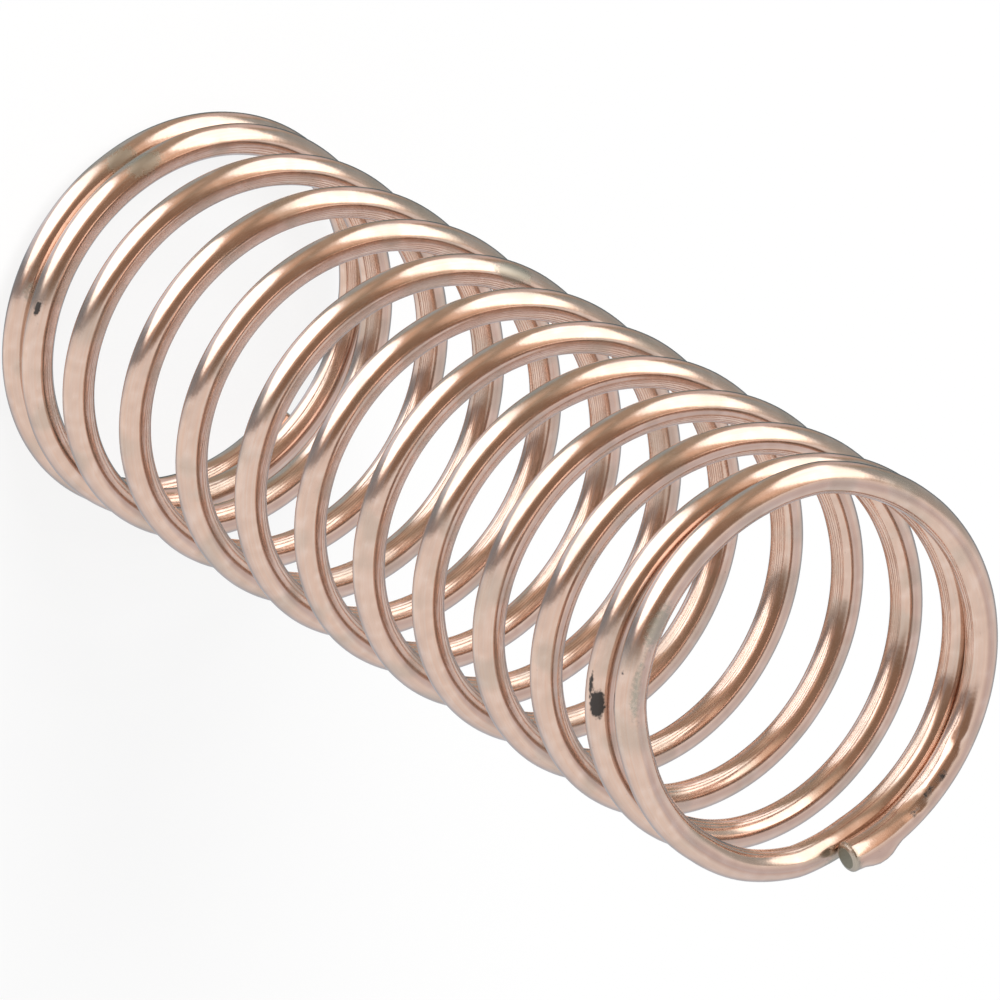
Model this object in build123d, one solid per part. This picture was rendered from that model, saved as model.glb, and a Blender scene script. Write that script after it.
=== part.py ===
from build123d import *
from math import cos, pi, radians, sin
import os

# Coupler spring: one compression spring, wound left-handed from round bronze wire.
# Its turns close up at both ends, and the ends are cut off plain, neither ground nor bent in.
# Millimetres. It stands on its lower end: its axis is Z and its lowest point lies at z = 0.

# Driving sizes
wire_diameter = 0.2286
outer_diameter = 3.048           # over the end turns
waist = 0.06                     # how much smaller the middle turns are across
free_length = 8.26
total_turns = 13.09
closed_turns_below = 1.565       # from the lower cut end to where the turns start to open
closed_turns_above = 1.15
opening_turns = 0.4              # the stretch in which the pitch grows to its full value
closed_gap = 0.013               # air between a closed turn and the next one
upper_end_angle = 45.0           # degrees about Z, where the wire ends at the top
points_per_turn = 36             # on the centre line

# What follows from them
end_radius = (outer_diameter - wire_diameter) / 2
rise = free_length - wire_diameter
closed_pitch = wire_diameter + closed_gap
opening_starts = closed_turns_below
closing_starts = total_turns - closed_turns_above - opening_turns
active_pitch = closed_pitch + (rise - closed_pitch * total_turns) / (closing_starts - opening_starts)


def opened(turn):
    """Turns' worth of full opening gained this many turns after the pitch starts to grow."""
    part = min(max(turn / opening_turns, 0), 1)
    return opening_turns * (part**3 - part**4 / 2) + max(turn - opening_turns, 0)


def wire_centre(turn):
    """The centre of the wire, counted in turns from the lower cut end."""
    gained = opened(turn - opening_starts) - opened(turn - closing_starts)
    height = closed_pitch * turn + (active_pitch - closed_pitch) * gained
    from_middle = 2 * turn / total_turns - 1
    radius = end_radius - waist / 2 * (1 - from_middle**2)
    angle = radians(upper_end_angle) + 2 * pi * (total_turns - turn)
    return Vector(radius * cos(angle), radius * sin(angle), wire_diameter / 2 + height)


# The wire's centre line, from the lower cut end to the upper one
steps = round(total_turns * points_per_turn)
centre_line = Spline([wire_centre(total_turns * step / steps) for step in range(steps + 1)])

# The round wire's section, as three arcs, so that three fine seams run along the wire
lower_end = centre_line @ 0
outwards = Vector(lower_end.X, lower_end.Y, 0)
across_wire = Plane(origin=lower_end, x_dir=outwards, z_dir=centre_line % 0)
section_arcs = [CenterArc((0, 0), wire_diameter / 2, start, 120) for start in (0, 120, 240)]
wire_section = across_wire * make_face(section_arcs)
coil = sweep(wire_section, path=centre_line, is_frenet=True)

print("active pitch", round(active_pitch, 4), "wire length", round(centre_line.length, 2))
print("volume", round(coil.volume, 4), "of", round(wire_section.area * centre_line.length, 4))

os.makedirs("parts", exist_ok=True)
export_step(coil, "parts/spring_coil.step")
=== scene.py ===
import math

import bpy
import numpy as np
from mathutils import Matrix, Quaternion, Vector


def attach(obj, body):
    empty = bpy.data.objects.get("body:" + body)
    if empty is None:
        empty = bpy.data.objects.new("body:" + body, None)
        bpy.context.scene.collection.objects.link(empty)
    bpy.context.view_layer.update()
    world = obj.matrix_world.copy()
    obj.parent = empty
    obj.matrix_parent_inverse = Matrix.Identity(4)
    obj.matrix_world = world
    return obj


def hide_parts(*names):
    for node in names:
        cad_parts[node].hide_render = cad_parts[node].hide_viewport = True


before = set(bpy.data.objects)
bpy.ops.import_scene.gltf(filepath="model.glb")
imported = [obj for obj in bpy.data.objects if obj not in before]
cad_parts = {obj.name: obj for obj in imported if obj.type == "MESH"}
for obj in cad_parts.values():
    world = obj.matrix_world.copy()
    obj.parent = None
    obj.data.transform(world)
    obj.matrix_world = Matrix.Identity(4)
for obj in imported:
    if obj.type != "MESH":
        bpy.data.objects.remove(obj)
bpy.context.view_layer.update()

# Blender counts in metres. Sizes in the dictionaries are in millimetres, except the studio's.
mm = 0.001
print("frame loaded")


class Socket:
    # A node's output that can be used in a sum: socket * 2 + 1 adds the Math nodes for it.
    def __init__(self, tree, socket=None):
        self.tree = tree
        self.socket = socket

    def make(self, kind, settings=None, values=None, output=0):
        # a new node in the same tree: its settings come first, then its sockets' values or links
        node = self.tree.nodes.new(kind)
        for name, value in (settings or {}).items():
            if name == "points":
                setPoints(node.mapping, value)
            else:
                setattr(node, name, value)
        for name, value in (values or {}).items():
            if isinstance(value, Socket):
                self.tree.links.new(value.socket, node.inputs[name])
            else:
                node.inputs[name].default_value = value
        return Socket(self.tree, node.outputs[output]) if len(node.outputs) else node

    def other(self, output):
        # another output of the node that this one comes from
        return Socket(self.tree, self.socket.node.outputs[output])

    def math(self, operation, *values):
        return self.make("ShaderNodeMath", {"operation": operation}, dict(enumerate(values)))

    def __add__(self, value):
        return self.math("ADD", self, value)

    def __radd__(self, value):
        return self.math("ADD", value, self)

    def __sub__(self, value):
        return self.math("SUBTRACT", self, value)

    def __rsub__(self, value):
        return self.math("SUBTRACT", value, self)

    def __mul__(self, value):
        return self.math("MULTIPLY", self, value)

    def __rmul__(self, value):
        return self.math("MULTIPLY", value, self)

    def __truediv__(self, value):
        return self.math("DIVIDE", self, value)

    def __rtruediv__(self, value):
        return self.math("DIVIDE", value, self)

    def __pow__(self, value):
        return self.math("POWER", self, value)

    def clamped(self):
        return self.math("MAXIMUM", self.math("MINIMUM", self, 1.0), 0.0)

    def between(self, low, high):
        # 0 at low, 1 at high, smooth in between
        return self.make("ShaderNodeMapRange", {"interpolation_type": "SMOOTHSTEP"},
                         {"Value": self, "From Min": low, "From Max": high})

    def vector(self, operation, *values, output=0):
        return self.make("ShaderNodeVectorMath", {"operation": operation},
                         dict(enumerate(values)), output)


def setPoints(mapping, points):
    curve = mapping.curves[0]
    while len(curve.points) < len(points):
        curve.points.new(0.5, 0.5)
    for point, place in zip(curve.points, points):
        point.location = place
        point.handle_type = "AUTO_CLAMPED"
    mapping.update()


def opaque(colour):
    return (*colour, 1)


def placed(name, data):
    made = bpy.data.objects.new(name, data)
    bpy.context.scene.collection.objects.link(made)
    return made


def newMaterial(name):
    # with an empty tree, and the socket that its first nodes are made from
    material = bpy.data.materials.new(name)
    material.use_nodes = True
    material.node_tree.nodes.clear()
    return material, Socket(material.node_tree)


def mixColours(factor, a, b):
    return factor.make("ShaderNodeMix", {"data_type": "RGBA"}, {0: factor, 6: a, 7: b}, 2)


# The wire

wire = {
    "diameter": 0.2286,
    "outerDiameter": 3.044,  # over the end turns
    "waist": 0.06,  # how much smaller the middle turns are across
    "freeLength": 8.26,
    "turns": 13.09,
    "closedBelow": 1.565,
    "closedAbove": 1.15,
    "opening": 0.4,
    "closedGap": 0.013,
    "upperEndAngle": 45.0,
    "pointsPerTurn": 170,
    "sides": 36,
    # how the shears rounded the cut ends, in steps: depth, and how much narrower after it
    "endRounding": [(0.012, 0.97), (0.010, 0.90), (0.006, 0.80)],
    # how far the coiling strayed, up and outwards: turn, millimetres
    "strayUp": [
        (0.0, 0.0), (1.0, -0.005), (2.4, -0.013), (3.8, -0.025), (4.6, -0.032), (5.3, -0.015),
        (6.5, 0.01), (7.9, 0.015), (9.3, 0.045), (10.7, 0.02), (11.2, 0.004), (11.45, -0.033),
        (11.7, -0.04), (11.9, -0.03), (12.05, -0.008), (12.27, -0.015), (12.37, -0.09),
        (12.45, -0.108), (12.58, -0.102), (12.68, -0.085), (12.8, -0.035), (12.92, -0.004),
        (13.09, -0.001),
    ],
    "strayOut": [
        (0.0, 0.0), (12.06, 0.0), (12.10, 0.035), (12.14, 0.04), (12.18, 0.002), (12.21, -0.002),
        (12.3, 0.0), (12.54, 0.0), (12.60, 0.02), (12.64, 0.022), (12.68, 0.0), (12.71, -0.003),
        (12.8, 0.0), (13.09, 0.0),
    ],
    "strayRange": 0.3,  # what the two curves can hold from lowest to highest, in millimetres
    # how uneven the wire's surface is, and the noise value at which it stays in place
    "bends": {"size": 0.4, "height": 0.003, "level": 0.75},
    # the lip that the shears pressed out of the upper end: turn, degrees from outwards, half its
    # length and width, and how high it stands
    "lip": (13.062, 24, 0.15, 0.10, 0.04),
    "lipEdge": (1.3, 0.2),
}

# Marks on the wire: where along it (in turns) and round it (degrees from outwards), half their
# length and width in millimetres, and how strong they are.
marks = {
    "dirt": [
        (11.366, 40, 0.115, 0.058, 0.95),
        (11.380, 10, 0.11, 0.022, 0.8),
        (1.416, 24, 0.06, 0.028, 0.9),
        (12.402, 10, 0.03, 0.02, 0.6),
        # the last three are painted shade: dark spots laid into the dents near the upper end
        (12.986, 118, 0.08, 0.035, 0.6),
        (13.004, 124, 0.09, 0.03, 0.6),
        (13.024, 112, 0.07, 0.03, 0.6),
    ],
    "tarnish": [
        (5.688, 60, 0.17, 0.075, 0.9),
        (12.444, 85, 0.20, 0.08, 0.7),
        (12.390, 70, 0.30, 0.04, 0.6),
        (0.424, 57, 0.09, 0.07, 0.5),
        (0.549, 50, 0.13, 0.09, 0.9),
        (1.556, 35, 0.14, 0.09, 0.9),
        (12.085, 60, 0.16, 0.09, 0.7),
        (13.090, 30, 0.055, 0.3, 0.9),
    ],
    # dents that the coiling tools left near the end
    "dents": [
        (13.020, 128, 0.14, 0.10, 1.0),
        (12.960, 124, 0.10, 0.08, 0.8),
    ],
    "dentDepth": 0.06,
    "dentLevel": 0.62,  # the noise value at which a dent turns from a hollow into a ridge
    "edge": (1.7, 0.3),  # where a mark starts and where it is full, with its outline at 1
}


def wireSpot(turn, angle):
    # the place that the attribute onWire holds there
    angle, radius = math.radians(angle), wire["diameter"] / 2
    along = turn * math.pi * wire["outerDiameter"]
    return Vector((radius * math.cos(angle), radius * math.sin(angle), along))


def markMask(onWire, spots, edge):
    # a mark's strength in its middle, and 0 off the marks
    mask = None
    for turn, angle, length, width, strength in spots:
        shrink = Vector((1 / width, 1 / width, 1 / length))
        offset = onWire.vector("MULTIPLY_ADD", onWire, shrink, -wireSpot(turn, angle) * shrink)
        distance = offset.vector("LENGTH", offset, output=1)
        spot = distance.between(*edge) * strength
        mask = spot if mask is None else spot.math("MAXIMUM", mask, spot)
    return mask


def newTree(name, kind):
    if name in bpy.data.node_groups:
        bpy.data.node_groups.remove(bpy.data.node_groups[name])
    return bpy.data.node_groups.new(name, kind)


def kept(geometry, name, value, kind="FLOAT", domain="POINT"):
    # the same geometry with a value stored on it under a name
    return geometry.make("GeometryNodeStoreNamedAttribute", {"data_type": kind, "domain": domain},
                         {"Geometry": geometry, "Name": name, "Value": value})


def wireTree(sizes):
    tree = newTree("coiledWire", "GeometryNodeTree")
    face = tree.interface
    face.new_socket("Geometry", in_out="INPUT", socket_type="NodeSocketGeometry")
    named = ["diameter", "outerDiameter", "waist", "freeLength", "turns", "closedBelow",
             "closedAbove", "opening", "closedGap", "upperEndAngle"]
    for name in named:
        face.new_socket(name, in_out="INPUT", socket_type="NodeSocketFloat")
    for name in ("pointsPerTurn", "sides"):
        face.new_socket(name, in_out="INPUT", socket_type="NodeSocketInt")
    face.new_socket("metal", in_out="INPUT", socket_type="NodeSocketMaterial")
    face.new_socket("Geometry", in_out="OUTPUT", socket_type="NodeSocketGeometry")

    given = Socket(tree).make("NodeGroupInput")
    size = {name: given.other(name) for name in [*named, "pointsPerTurn", "sides", "metal"]}

    # a straight line first, with as many points as the wire needs
    count = size["turns"] * size["pointsPerTurn"] + 1
    line = given.make("GeometryNodeCurvePrimitiveLine")
    line = line.make("GeometryNodeResampleCurve", {"mode": "COUNT"},
                     {"Curve": line, "Count": count})
    share = line.make("GeometryNodeSplineParameter")
    turn = share * size["turns"]

    # how many turns' worth of opening the pitch has gained
    def opened(past):
        part = (past / size["opening"]).clamped()
        grown = size["opening"] * (part ** 3 - part ** 4 / 2)
        return grown + past.math("MAXIMUM", past - size["opening"], 0.0)

    rise = size["freeLength"] - size["diameter"]
    closedPitch = size["diameter"] + size["closedGap"]
    closingStarts = size["turns"] - size["closedAbove"] - size["opening"]
    gained = opened(turn - size["closedBelow"]) - opened(turn - closingStarts)
    extra = (rise - closedPitch * size["turns"]) / (closingStarts - size["closedBelow"])

    # a curve holds 0 to 1, so its middle stands for no stray at all
    def stray(name):
        reach = sizes["strayRange"]
        points = [(turn / sizes["turns"], 0.5 + way / reach) for turn, way in sizes[name]]
        curve = share.make("ShaderNodeFloatCurve", {"points": points}, {"Value": share})
        return (curve - 0.5) * reach

    height = closedPitch * turn + extra * gained + stray("strayUp") + size["diameter"] / 2
    fromMiddle = 2 * share - 1
    endRadius = (size["outerDiameter"] - size["diameter"]) / 2
    radius = endRadius - size["waist"] / 2 * (1 - fromMiddle ** 2) + stray("strayOut")
    angle = (size["upperEndAngle"] + 360 * (size["turns"] - turn)) * (math.pi / 180)
    place = angle.make("ShaderNodeCombineXYZ", None, {
        "X": radius * angle.math("COSINE", angle) * mm,
        "Y": radius * angle.math("SINE", angle) * mm,
        "Z": height * mm,
    })
    # both kept before the line is coiled, as its own length would change the share
    line = kept(line, "along", turn * (math.pi * size["outerDiameter"]))
    line = kept(line, "centre", place, "FLOAT_VECTOR")
    line = line.make("GeometryNodeSetPosition", None, {"Geometry": line, "Position": place})
    line = line.make("GeometryNodeSetCurveNormal", {"mode": "Z_UP"}, {"Curve": line})

    # the round wire along it, cut off plain, with its edge rounded a little by the shears
    rounding = sizes["endRounding"]
    taken = sum(depth for depth, narrower in rounding) * mm
    length = line.make("GeometryNodeCurveLength", None, {"Curve": line})
    line = line.make("GeometryNodeTrimCurve", {"mode": "LENGTH"},
                     {0: line, 4: taken, 5: length - taken})
    ring = line.make("GeometryNodeCurvePrimitiveCircle", {"mode": "RADIUS"},
                     {"Resolution": size["sides"], "Radius": size["diameter"] * (mm / 2)})
    coil = line.make("GeometryNodeCurveToMesh", None,
                     {"Curve": line, "Profile Curve": ring, "Fill Caps": True})
    # only the two caps have more than four corners
    corners = coil.make("GeometryNodeInputMeshFaceNeighbors")
    isEnd = coil.make("FunctionNodeCompare", {"data_type": "INT", "operation": "GREATER_THAN"},
                      {2: corners, 3: 4})
    for depth, narrower in rounding:
        coil = coil.make("GeometryNodeExtrudeMesh", {"mode": "FACES"},
                         {"Mesh": coil, "Selection": isEnd, "Offset Scale": depth * mm})
        isEnd = coil.other("Top")
        coil = coil.make("GeometryNodeScaleElements", {"domain": "FACE"},
                         {"Geometry": coil, "Selection": isEnd, "Scale": narrower})

    # for the metal: which faces are cut, and where on the wire a point lies, in millimetres:
    # outwards and up from its centre, and along it
    def recalled(name, kind):
        return coil.make("GeometryNodeInputNamedAttribute", {"data_type": kind}, {"Name": name})

    coil = kept(coil, "cut", isEnd, domain="FACE")
    centre, along = recalled("centre", "FLOAT_VECTOR"), recalled("along", "FLOAT")
    here = coil.make("GeometryNodeInputPosition")
    outwards = centre.vector("NORMALIZE", centre.vector("MULTIPLY", centre, (1, 1, 0)))
    offset = here.vector("SUBTRACT", here, centre)
    onWire = coil.make("ShaderNodeCombineXYZ", None, {
        "X": offset.vector("DOT_PRODUCT", offset, outwards, output=1) / mm,
        "Y": offset.vector("DOT_PRODUCT", offset, (0, 0, 1), output=1) / mm,
        "Z": along,
    })
    coil = kept(coil, "onWire", onWire, "FLOAT_VECTOR")

    # the dirt marks also carry the painted shade in the dents near the upper end
    for kind in ("dirt", "tarnish"):
        coil = kept(coil, kind, markMask(onWire, marks[kind], marks["edge"]))

    def noise(size, detail):
        return coil.make("ShaderNodeTexNoise", None,
                         {"Vector": onWire, "Scale": 1 / size, "Detail": detail})

    mottle = noise(metal["mottle"]["size"], 2.0)
    patches = noise(metal["patches"]["size"], 0.0)
    coil = kept(coil, "mottle", mottle)
    coil = kept(coil, "patches", patches)

    # the drawn wire is never quite even, and it bears the lip and the dents
    bends = sizes["bends"]
    *lipSpot, lipHeight = sizes["lip"]
    lifted = (noise(bends["size"], 1.0) - bends["level"]) * bends["height"]
    lifted = lifted + markMask(onWire, [(*lipSpot, 1.0)], sizes["lipEdge"]) * lipHeight
    dented = markMask(onWire, marks["dents"], marks["edge"])
    lifted = lifted + dented * (mottle - marks["dentLevel"]) * marks["dentDepth"]
    shift = coil.make("ShaderNodeVectorMath", {"operation": "SCALE"}, {
        0: offset.vector("NORMALIZE", offset), "Scale": lifted * mm})
    coil = coil.make("GeometryNodeSetPosition", None, {"Geometry": coil, "Offset": shift})
    isSide = coil.make("FunctionNodeBooleanMath", {"operation": "NOT"}, {0: isEnd})
    coil = coil.make("GeometryNodeSetShadeSmooth", {"domain": "FACE"},
                     {"Geometry": coil, "Shade Smooth": isSide})
    coil = coil.make("GeometryNodeSetMaterial", None, {"Geometry": coil, "Material": size["metal"]})
    coil.make("NodeGroupOutput", None, {"Geometry": coil})
    return tree


def madeMesh(name, tree, values):
    # runs a tree on an empty mesh and keeps its result as a plain mesh
    carrier = placed(name + "Carrier", bpy.data.meshes.new(name + "Carrier"))
    modifier = carrier.modifiers.new("nodes", "NODES")
    modifier.node_group = tree
    for item in tree.interface.items_tree:
        if item.in_out == "INPUT" and item.name in values:
            modifier[item.identifier] = values[item.name]
    evaluated = carrier.evaluated_get(bpy.context.evaluated_depsgraph_get())
    mesh = bpy.data.meshes.new_from_object(evaluated)
    carrier.modifiers.remove(modifier)
    bpy.data.objects.remove(carrier)
    return placed(name, mesh)


# The metal

metal = {
    "colour": (0.69, 0.52, 0.435),
    "redder": (0.69, 0.475, 0.37),
    "paler": (0.80, 0.65, 0.575),
    "duller": (0.58, 0.43, 0.355),
    "tarnish": (0.38, 0.36, 0.30),
    # the dark of the dirt, of the pits, and of the painted shade in the dents
    "dirt": (0.045, 0.045, 0.045),
    "cutFace": (0.25, 0.24, 0.19),
    "roughness": 0.11,
    "rougher": {"grain": 0.06, "tarnish": 0.2, "dirt": 0.4, "cut": 0.25},  # each adds so much
    # lines along the wire that redden it, by their noise times contrast, less the offset
    "dieLines": {"size": 0.016, "stretch": 400, "height": 0.0004, "contrast": 2, "offset": 0.6},
    "grain": {"size": 0.026, "height": 0.0002},
    "pits": {"range": (0.72, 0.95), "amount": 0.4},  # dark specks where the grain is highest
    # paler where this noise is high, duller where it is low
    "mottle": {"size": 0.09, "amount": 0.45, "pale": (0.45, 0.75), "dull": (0.55, 0.25)},
    "patches": {"size": 0.25, "amount": 0.3, "range": (0.5, 0.75)},
    "ragged": 0.6,  # how much the grain eats into the edges of the marks
    "dirtAndDentShadeMark": {"range": (0.32, 0.66), "amount": 0.95},
    "tarnishMark": {"range": (0.2, 0.7), "amount": 0.8},
}


def bronzeMaterial(look):
    material, pen = newMaterial("phosphorBronze")
    onWire = pen.make("ShaderNodeAttribute", {"attribute_name": "onWire"}, None, 1)

    def noise(size, stretch=1):
        where = onWire.vector("MULTIPLY", onWire, (1, 1, 1 / stretch))
        return pen.make("ShaderNodeTexNoise", None,
                        {"Vector": where, "Scale": 1 / size, "Detail": 1.0})

    def stored(name):
        return pen.make("ShaderNodeAttribute", {"attribute_name": name}, None, 2)

    cut, mottle, patches = stored("cut"), stored("mottle"), stored("patches")
    lines, grain = look["dieLines"], noise(look["grain"]["size"])
    dieLines = noise(lines["size"], lines["stretch"])

    # the noise makes the marks' soft edges ragged
    ragged = (grain - 0.5) * look["ragged"]
    # dirt, and painted shade in the dents near the upper end
    dirt = (stored("dirt") + ragged).between(*look["dirtAndDentShadeMark"]["range"])
    stained = (stored("tarnish") + ragged).between(*look["tarnishMark"]["range"])
    clouded = patches.between(*look["patches"]["range"]) * look["patches"]["amount"]
    tarnish = pen.math("MAXIMUM", stained * look["tarnishMark"]["amount"], clouded)
    pits = grain.between(*look["pits"]["range"]) * look["pits"]["amount"]
    dark = pen.math("MAXIMUM", dirt * look["dirtAndDentShadeMark"]["amount"], pits)
    pale = mottle.between(*look["mottle"]["pale"]) * look["mottle"]["amount"]
    dull = mottle.between(*look["mottle"]["dull"]) * look["mottle"]["amount"]
    red = (dieLines * lines["contrast"] - lines["offset"]).clamped()

    colour = mixColours(red, opaque(look["colour"]), opaque(look["redder"]))
    colour = mixColours(pale, colour, opaque(look["paler"]))
    colour = mixColours(dull, colour, opaque(look["duller"]))
    colour = mixColours(tarnish, colour, opaque(look["tarnish"]))
    colour = mixColours(dark, colour, opaque(look["dirt"]))
    colour = mixColours(cut, colour, opaque(look["cutFace"]))
    rougher = look["rougher"]
    rough = look["roughness"] + grain * rougher["grain"] + tarnish * rougher["tarnish"]
    rough = rough + dirt * rougher["dirt"] + cut * rougher["cut"]

    height = dieLines * lines["height"] + grain * look["grain"]["height"]
    bump = pen.make("ShaderNodeBump", None, {"Strength": 1.0, "Distance": mm, "Height": height})
    shader = pen.make("ShaderNodeBsdfPrincipled", None, {
        "Base Color": colour,
        "Metallic": 1.0,
        "Roughness": rough,
        "Normal": bump,
    })
    pen.make("ShaderNodeOutputMaterial", None, {"Surface": shader})
    return material


bronze = bronzeMaterial(metal)
values = {name: value for name, value in wire.items() if isinstance(value, (int, float))}
values["metal"] = bronze
spring = madeMesh("springWire", wireTree(wire), values)
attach(spring, "root")
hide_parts("spring_coil")
print("wire made:", len(spring.data.polygons), "faces")


# The camera, where the photograph's stood

camera = {
    "azimuth": -91.8,  # degrees, where it stands round the coil, from +X
    "elevation": 49.45,
    "roll": 120.22,  # so that the coil lies from upper left to lower right
    "distance": 152.9,
    "lens": 785.5,
    "aimRight": 0.0585,  # how far its aim is off the coil's middle
    "aimUp": -0.0665,
    "sensor": 36,
    "clip": (0.001, 10),  # metres
}


def direction(azimuth, elevation):
    # a unit vector towards these degrees, from +X and from level
    azimuth, elevation = math.radians(azimuth), math.radians(elevation)
    return Vector((math.cos(azimuth) * math.cos(elevation),
                   math.sin(azimuth) * math.cos(elevation), math.sin(elevation)))


def makeCamera(setup):
    back = direction(setup["azimuth"], setup["elevation"])
    turned = (-back).to_track_quat("-Z", "Y") @ Quaternion((0, 0, 1), math.radians(setup["roll"]))
    aim = Vector((0, 0, wire["freeLength"] / 2))
    aim += turned @ Vector((setup["aimRight"], setup["aimUp"], 0))
    data = bpy.data.cameras.new("camera")
    data.lens = setup["lens"]
    data.sensor_width = setup["sensor"]
    data.clip_start, data.clip_end = setup["clip"]
    made = placed("camera", data)
    made.rotation_mode = "QUATERNION"
    made.rotation_quaternion = turned
    made.location = (aim + back * setup["distance"]) * mm
    bpy.context.scene.camera = made
    return turned


viewTurn = makeCamera(camera)
print("camera set")


# The studio: a pale floor, a white surround, a lamp, and cards that show in the metal

studio = {
    "floorSize": 0.6,  # metres, as all of the studio
    "paper": 0.9,  # how pale the floor is
    "floorGlow": 0.85,  # how much of the white it shows by itself; the rest keeps the shadow
    "domeRadius": 0.35,
    "domeRings": 140,
    "domeSpokes": 240,
    "domeReach": (0.002, 0.999),  # the first and the last ring, on the mirror ball
    "white": 1.0,
    "ambient": 0.55,
}

lamp = {"azimuth": -150, "elevation": 55, "distance": 0.4, "size": 0.2, "power": 1.2}
white = opaque((1, 1, 1))

# The cards, nearest first. Their corners are where a mirror ball at the coil shows them from the
# camera: to the right and up, from -1 to 1. Low and high are the light at their foot and their top,
# soft is the share of the way to the middle over which their edge fades.
cards = {
    "paleFloor": {
        "corners": [
            (-0.98, 0.06), (-0.82, 0.01), (-0.60, -0.12), (-0.50, -0.30), (-0.62, -0.48),
            (-0.80, -0.46), (-0.93, -0.32), (-0.985, -0.12),
        ],
        "low": (1.02, 1.02, 1.02), "high": (1.08, 1.06, 1.04), "soft": 0.6,
    },
    "leftWindow": {
        "corners": [
            (-0.68, 0.30), (-0.66, 0.50), (-0.59, 0.64), (-0.46, 0.69), (-0.33, 0.65),
            (-0.21, 0.55), (-0.11, 0.43), (-0.06, 0.29), (-0.09, 0.16), (-0.19, 0.07),
            (-0.35, 0.02), (-0.52, 0.03), (-0.64, 0.12),
        ],
        "low": (2.6, 2.6, 2.6), "high": (2.3, 2.4, 2.5), "soft": 0.14,
    },
    "rightWindow": {
        "corners": [
            (0.10, 0.72), (0.13, 0.77), (0.22, 0.79), (0.34, 0.74), (0.47, 0.61), (0.56, 0.45),
            (0.62, 0.28), (0.625, 0.12), (0.59, -0.03), (0.53, -0.07), (0.48, 0.03), (0.38, 0.17),
            (0.27, 0.31), (0.18, 0.44), (0.11, 0.58),
        ],
        "low": (2.9, 2.8, 2.6), "high": (1.9, 2.0, 2.1), "soft": 0.14,
    },
    "warmLeft": {
        "corners": [
            (-0.66, 0.26), (-0.60, 0.52), (-0.44, 0.66), (-0.22, 0.70), (-0.03, 0.64),
            (0.03, 0.46), (0.05, 0.27), (0.01, 0.11), (-0.12, 0.0), (-0.30, -0.06), (-0.50, -0.03),
            (-0.62, 0.08),
        ],
        "low": (0.95, 0.58, 0.36), "high": (0.75, 0.62, 0.50), "soft": 0.3,
    },
    "warmRight": {
        "corners": [
            (0.06, 0.70), (0.14, 0.80), (0.34, 0.74), (0.50, 0.52), (0.60, 0.25), (0.62, 0.0),
            (0.50, -0.14), (0.38, 0.0), (0.26, 0.14), (0.15, 0.29), (0.09, 0.45),
        ],
        "low": (1.0, 0.68, 0.49), "high": (0.82, 0.74, 0.64), "soft": 0.3,
    },
    "darkCorner": {
        "corners": [
            (-0.30, -0.08), (-0.18, 0.01), (-0.07, 0.11), (0.0, 0.25), (0.08, 0.33), (0.18, 0.26),
            (0.26, 0.17), (0.38, 0.05), (0.46, -0.05), (0.39, -0.15), (0.26, -0.215),
            (0.08, -0.245), (-0.08, -0.225), (-0.22, -0.175),
        ],
        "low": (0.27, 0.19, 0.145), "high": (0.40, 0.285, 0.205), "soft": 0.2,
    },
    "paleWall": {
        "corners": [
            (-0.91, 0.42), (-0.87, 0.54), (-0.77, 0.68), (-0.62, 0.74), (-0.50, 0.55),
            (-0.58, 0.20), (-0.70, 0.17), (-0.82, 0.27),
        ],
        "low": (0.72, 0.82, 0.96), "high": (0.92, 1.0, 1.12), "soft": 0.45,
    },
    "greenWall": {
        "corners": [
            (-0.72, 0.68), (-0.58, 0.80), (-0.40, 0.90), (-0.22, 0.95), (-0.14, 0.82),
            (-0.22, 0.68), (-0.40, 0.66), (-0.56, 0.62),
        ],
        "low": (0.46, 0.54, 0.56), "high": (0.42, 0.52, 0.56), "soft": 0.4,
    },
    "greyEdge": {
        "corners": [
            (-0.985, 0.12), (-0.90, 0.13), (-0.78, 0.05), (-0.62, -0.04), (-0.42, -0.12),
            (-0.20, -0.17), (0.02, -0.18), (0.10, 0.0), (0.08, 0.25), (-0.10, 0.38), (-0.40, 0.42),
            (-0.70, 0.40), (-0.90, 0.42), (-0.96, 0.26),
        ],
        "low": (0.36, 0.32, 0.31), "high": (0.26, 0.34, 0.41), "soft": 0.08,
    },
    "pinkWall": {
        "corners": [
            (0.02, 0.88), (0.20, 0.96), (0.40, 0.88), (0.52, 0.76), (0.40, 0.68), (0.20, 0.70),
            (0.06, 0.76),
        ],
        "low": (0.78, 0.70, 0.70), "high": (0.78, 0.70, 0.70), "soft": 0.5,
    },
    "greyWall": {
        "corners": [
            (0.50, 0.76), (0.64, 0.72), (0.81, 0.53), (0.92, 0.28), (0.88, 0.06), (0.68, -0.10),
            (0.58, 0.0), (0.56, 0.20), (0.52, 0.40), (0.46, 0.60),
        ],
        "low": (0.54, 0.54, 0.52), "high": (0.36, 0.45, 0.48), "soft": 0.3,
    },
    "brownWall": {
        "corners": [
            (-0.93, 0.22), (-0.88, 0.42), (-0.72, 0.66), (-0.45, 0.86), (-0.15, 0.97),
            (0.18, 0.96), (0.50, 0.84), (0.74, 0.62), (0.82, 0.34), (0.76, 0.08), (0.60, -0.06),
            (0.40, -0.14), (0.10, -0.16), (-0.20, -0.14), (-0.50, -0.04), (-0.75, 0.08),
        ],
        "low": (0.42, 0.33, 0.25), "high": (0.50, 0.44, 0.36), "soft": 0.08,
    },
    "darkFloor": {
        "corners": [
            (0.58, -0.06), (0.78, 0.02), (0.90, -0.14), (0.86, -0.38), (0.72, -0.58),
            (0.52, -0.74), (0.34, -0.80), (0.30, -0.62), (0.34, -0.40), (0.30, -0.22),
            (0.42, -0.14),
        ],
        "low": (0.70, 0.70, 0.76), "high": (0.76, 0.72, 0.74), "soft": 0.7,
    },
}

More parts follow.
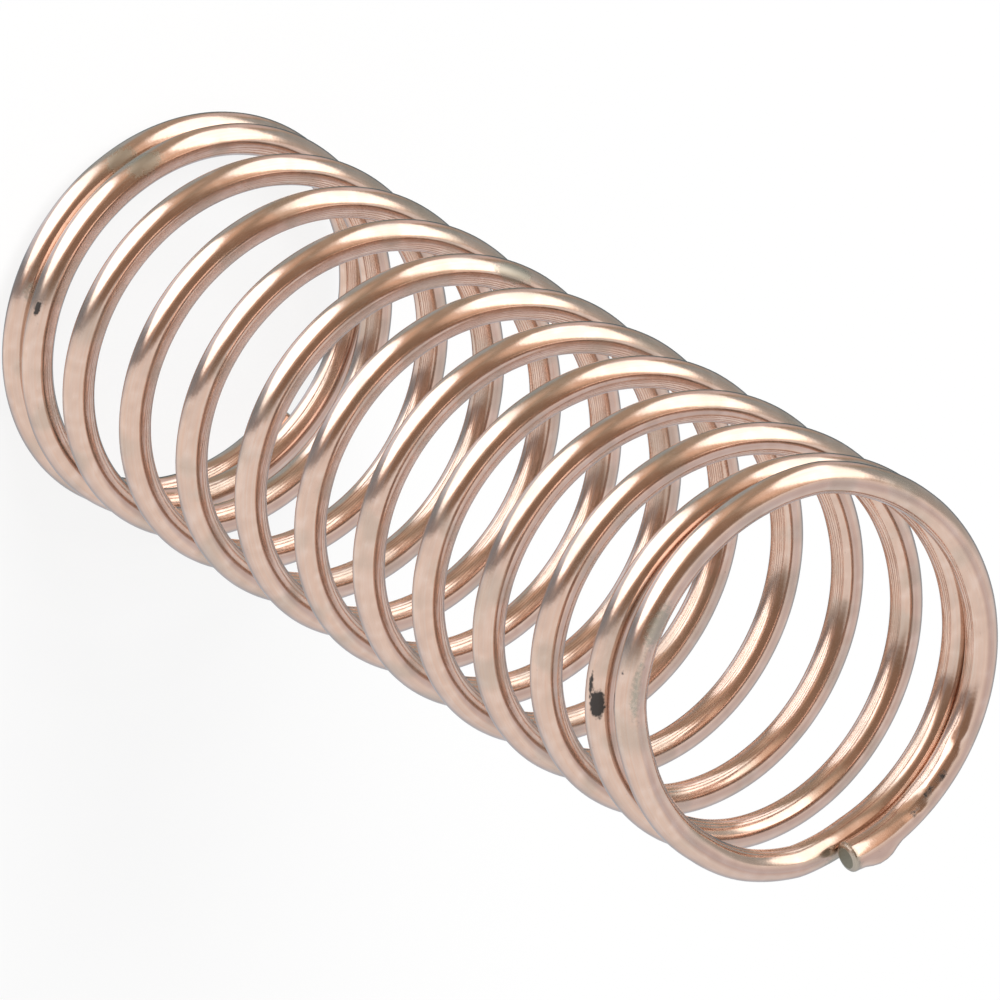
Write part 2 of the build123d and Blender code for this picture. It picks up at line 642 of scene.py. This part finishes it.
# What lies behind the coil, seen in the metal only at a glancing look: rings on the mirror ball.
# They start and are full so far from its middle.
rings = {
    "farDark": {
        "startsAt": 0.89, "fullFrom": 0.97,
        "low": (0.58, 0.64, 0.72), "high": (0.08, 0.13, 0.15),
    },
    "table": {
        "startsAt": 0.72, "fullFrom": 0.95,
        "low": (0.78, 0.80, 0.85), "high": (0.70, 0.74, 0.80),
    },
}


def showing(card, right, up):
    # how much of a card shows at these spots of the mirror ball, and how far up it they lie, 0 to 1
    corners = np.array(card["corners"])
    middle = corners.mean(axis=0)
    steps = np.linspace(0, 1, 8, endpoint=False)[:, None]  # eight places along each side
    sides = zip(corners, np.roll(corners, -1, axis=0))
    outline = np.concatenate([a + (b - a) * steps for a, b in sides]) - middle
    angles = np.arctan2(outline[:, 1], outline[:, 0])
    order = np.argsort(angles)
    reach = np.interp(np.arctan2(up - middle[1], right - middle[0]), angles[order],
                      np.hypot(*outline[order].T), period=2 * np.pi)
    share = np.hypot(right - middle[0], up - middle[1]) / reach
    height = np.clip((up - corners[:, 1].min()) / np.ptp(corners[:, 1]), 0, 1)
    return np.clip((1 - share) / card["soft"], 0, 1), height


def paintedLight(right, up):
    # the cards and rings over plain white, the furthest first
    light = np.ones((len(right), 3)) * studio["white"]

    def paint(thing, shown, height):
        shown, height = shown[:, None], height[:, None]
        own = np.array(thing["low"]) * (1 - height) + np.array(thing["high"]) * height
        light[:] += shown * (own - light)

    far = np.hypot(right, up)
    for ring in reversed(rings.values()):
        shown = (far - ring["startsAt"]) / (ring["fullFrom"] - ring["startsAt"])
        paint(ring, np.clip(shown, 0, 1), (1 + up) / 2)
    for card in reversed(cards.values()):
        paint(card, *showing(card, right, up))
    return light


def makeDome():
    # one dome round the coil that shows in the metal only, painted with all the cards
    ringCount, around = studio["domeRings"], studio["domeSpokes"]
    reach = np.linspace(*studio["domeReach"], ringCount)[:, None]
    turned = np.linspace(0, 2 * np.pi, around, endpoint=False)[None, :]
    right, up = (reach * np.cos(turned)).ravel(), (reach * np.sin(turned)).ravel()
    back = np.sqrt(1 - right ** 2 - up ** 2)
    away = np.stack([2 * back * right, 2 * back * up, 2 * back ** 2 - 1], axis=1)
    vertices = away @ np.array(viewTurn.to_matrix()).T * studio["domeRadius"]
    corner = np.arange(ringCount * around).reshape(ringCount, around)
    after = np.roll(corner, -1, axis=1)
    faces = np.stack([corner[:-1], after[:-1], after[1:], corner[1:]], axis=2).reshape(-1, 4)
    mesh = bpy.data.meshes.new("dome")
    mesh.from_pydata(vertices.tolist(), [], faces.tolist())
    light = np.ones((len(vertices), 4))
    light[:, :3] = paintedLight(right, up)
    mesh.attributes.new("light", "FLOAT_COLOR", "POINT").data.foreach_set("color", light.ravel())

    material, pen = newMaterial("domeLight")
    material.cycles.emission_sampling = "NONE"  # only the metal's mirrored rays meet it
    painted = pen.make("ShaderNodeAttribute", {"attribute_name": "light"})
    glow = pen.make("ShaderNodeEmission", None, {"Color": painted})
    pen.make("ShaderNodeOutputMaterial", None, {"Surface": glow})
    mesh.materials.append(material)
    made = placed("dome", mesh)
    made.location = (0, 0, wire["freeLength"] / 2 * mm)
    made.visible_camera = made.visible_diffuse = made.visible_shadow = False


def seenBy(pen):
    # 1 for what the camera sees, also by way of a mirror or through a clear thing
    path = pen.make("ShaderNodeLightPath")
    return (path + path.other("Is Glossy Ray") + path.other("Is Transmission Ray")).clamped()


def makeFloor():
    half = studio["floorSize"] / 2
    mesh = bpy.data.meshes.new("floor")
    corners = [(-half, -half, 0), (half, -half, 0), (half, half, 0), (-half, half, 0)]
    mesh.from_pydata(corners, [], [(0, 1, 2, 3)])
    floor = placed("floor", mesh)
    material, pen = newMaterial("paper")
    paper = pen.make("ShaderNodeBsdfDiffuse", None, {"Color": opaque([studio["paper"]] * 3)})
    glow = pen.make("ShaderNodeEmission", None, {"Color": white, "Strength": studio["white"]})
    shown = {0: seenBy(pen) * studio["floorGlow"], 1: paper, 2: glow}
    surface = pen.make("ShaderNodeMixShader", None, shown)
    pen.make("ShaderNodeOutputMaterial", None, {"Surface": surface})
    mesh.materials.append(material)
    floor.visible_glossy = False  # the metal mirrors the white surround in its place


def makeWorld():
    world = bpy.data.worlds.new("studio")
    bpy.context.scene.world = world
    world.use_nodes = True
    world.node_tree.nodes.clear()
    pen = Socket(world.node_tree)

    def background(strength):
        return pen.make("ShaderNodeBackground", None, {"Color": white, "Strength": strength})

    light, backdrop = background(studio["ambient"]), background(studio["white"])
    surface = pen.make("ShaderNodeMixShader", None, {0: seenBy(pen), 1: light, 2: backdrop})
    pen.make("ShaderNodeOutputWorld", None, {"Surface": surface})


def makeLamp(name, setup):
    data = bpy.data.lights.new(name, "AREA")
    data.shape = "DISK"
    data.size = setup["size"]
    data.energy = setup["power"]
    made = placed(name, data)
    away = direction(setup["azimuth"], setup["elevation"])
    made.location = away * setup["distance"]
    made.rotation_mode = "QUATERNION"
    made.rotation_quaternion = away.to_track_quat("Z", "Y")
    made.visible_glossy = False
    made.visible_camera = False


makeFloor()
makeWorld()
makeDome()
makeLamp("keyLamp", lamp)
print("studio set")

bpy.context.scene.view_settings.view_transform = "Standard"
